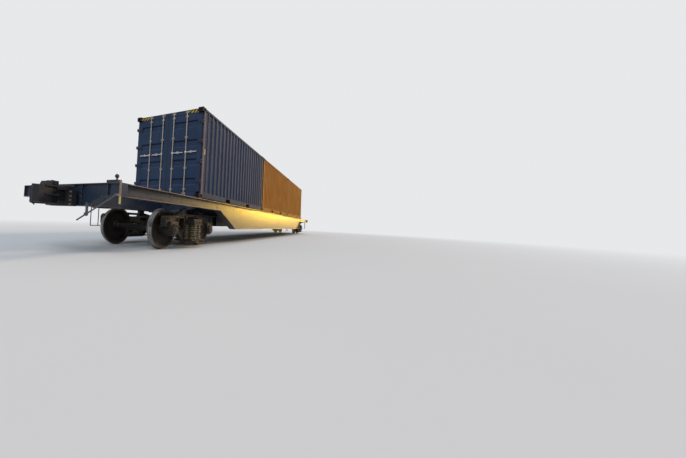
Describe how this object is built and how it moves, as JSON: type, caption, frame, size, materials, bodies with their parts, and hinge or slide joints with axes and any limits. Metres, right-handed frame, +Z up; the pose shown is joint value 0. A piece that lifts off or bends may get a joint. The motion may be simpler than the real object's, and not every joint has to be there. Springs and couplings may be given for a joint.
{
  "type": "container flatcar with three 20 ft containers",
  "caption": "80 ft 1520 mm gauge container flatcar on two three-piece bogies, carrying one blue and two orange 20 ft containers.",
  "frame": {"origin": "floor point under the middle of the car, at the lowest point of the wheel flanges", "axes": "+X along the car away from the containers' door ends, +Z up"},
  "size_m": [25.914, 2.8846, 3.9789],
  "materials": {
    "frame_blue": "gloss",
    "bogie_cast": "rough",
    "wheel_steel": "satin",
    "container_blue": "satin",
    "container_orange": "satin",
    "galvanised": "satin",
    "floor_boards": "matte"
  },
  "bodies": {
    "root": {"body_bolsters": "frame_blue", "brake_pipe": "frame_blue", "brake_vessels": "frame_blue", "centre_plates": "bogie_cast", "centre_sill": "frame_blue", "container1_base_rails": "container_blue", "container1_floor": "floor_boards", "container1_panels": "container_blue", "container1_posts": "container_blue", "container1_rails": "container_blue", "container2_base_rails": "container_orange", "container2_doors": "container_orange", "container2_floor": "floor_boards", "container2_locks": "galvanised", "container2_panels": "container_orange", "container2_posts": "container_orange", "container2_rails": "container_orange", "container3_base_rails": "container_orange", "container3_doors": "container_orange", "container3_floor": "floor_boards", "container3_locks": "galvanised", "container3_panels": "container_orange", "container3_posts": "container_orange", "container3_rails": "container_orange", "container_stops": "frame_blue", "couplers": "bogie_cast", "cross_bearers": "frame_blue", "deck_braces": "frame_blue", "draft_gears": "bogie_cast", "end_beams": "frame_blue", "end_fittings": "frame_blue", "side_sills": "frame_blue", "striker_boxes": "bogie_cast", "uncoupling_levers": "frame_blue"},
    "wheelset_1": {"wheels_1": "wheel_steel", "axle_1": "wheel_steel"},
    "wheelset_2": {"wheels_2": "wheel_steel", "axle_2": "wheel_steel"},
    "wheelset_3": {"wheels_3": "wheel_steel", "axle_3": "wheel_steel"},
    "wheelset_4": {"wheels_4": "wheel_steel", "axle_4": "wheel_steel"},
    "bogie_a": {"bogie_a_axleboxes": "bogie_cast", "bogie_a_bolster": "bogie_cast", "bogie_a_brake_gear": "bogie_cast", "bogie_a_side_frames": "bogie_cast", "bogie_a_springs": "bogie_cast", "bogie_a_wedges": "bogie_cast"},
    "bogie_b": {"bogie_b_axleboxes": "bogie_cast", "bogie_b_bolster": "bogie_cast", "bogie_b_brake_gear": "bogie_cast", "bogie_b_side_frames": "bogie_cast", "bogie_b_springs": "bogie_cast", "bogie_b_wedges": "bogie_cast"},
    "door_left": {"container1_door_left": "container_blue", "container1_locks_left": "galvanised"},
    "door_right": {"container1_door_right": "container_blue", "container1_locks_right": "galvanised"}
  },
  "joints": [
    {"name": "bogie_a_yaw", "type": "hinge", "parent": "root", "child": "bogie_a", "pos_m": [-9.25, 0, 0.834], "axis": [0, 0, 1], "range_deg": [-6, 6]},
    {"name": "bogie_b_yaw", "type": "hinge", "parent": "root", "child": "bogie_b", "pos_m": [9.25, 0, 0.834], "axis": [0, 0, 1], "range_deg": [-6, 6]},
    {"name": "wheelset_1_spin", "type": "hinge", "parent": "bogie_a", "child": "wheelset_1", "pos_m": [-10.175, 0, 0.5065], "axis": [0, 1, 0], "continuous": true},
    {"name": "wheelset_2_spin", "type": "hinge", "parent": "bogie_a", "child": "wheelset_2", "pos_m": [-8.325, 0, 0.5065], "axis": [0, 1, 0], "continuous": true},
    {"name": "wheelset_3_spin", "type": "hinge", "parent": "bogie_b", "child": "wheelset_3", "pos_m": [8.325, 0, 0.5065], "axis": [0, 1, 0], "continuous": true},
    {"name": "wheelset_4_spin", "type": "hinge", "parent": "bogie_b", "child": "wheelset_4", "pos_m": [10.175, 0, 0.5065], "axis": [0, 1, 0], "continuous": true},
    {"name": "door_left_swing", "type": "hinge", "parent": "root", "child": "door_left", "pos_m": [-9.141, 1.203, 2.683], "axis": [0, 0, -1], "range_deg": [0, 255]},
    {"name": "door_right_swing", "type": "hinge", "parent": "root", "child": "door_right", "pos_m": [-9.141, -1.203, 2.683], "axis": [0, 0, 1], "range_deg": [0, 255]}
  ]
}
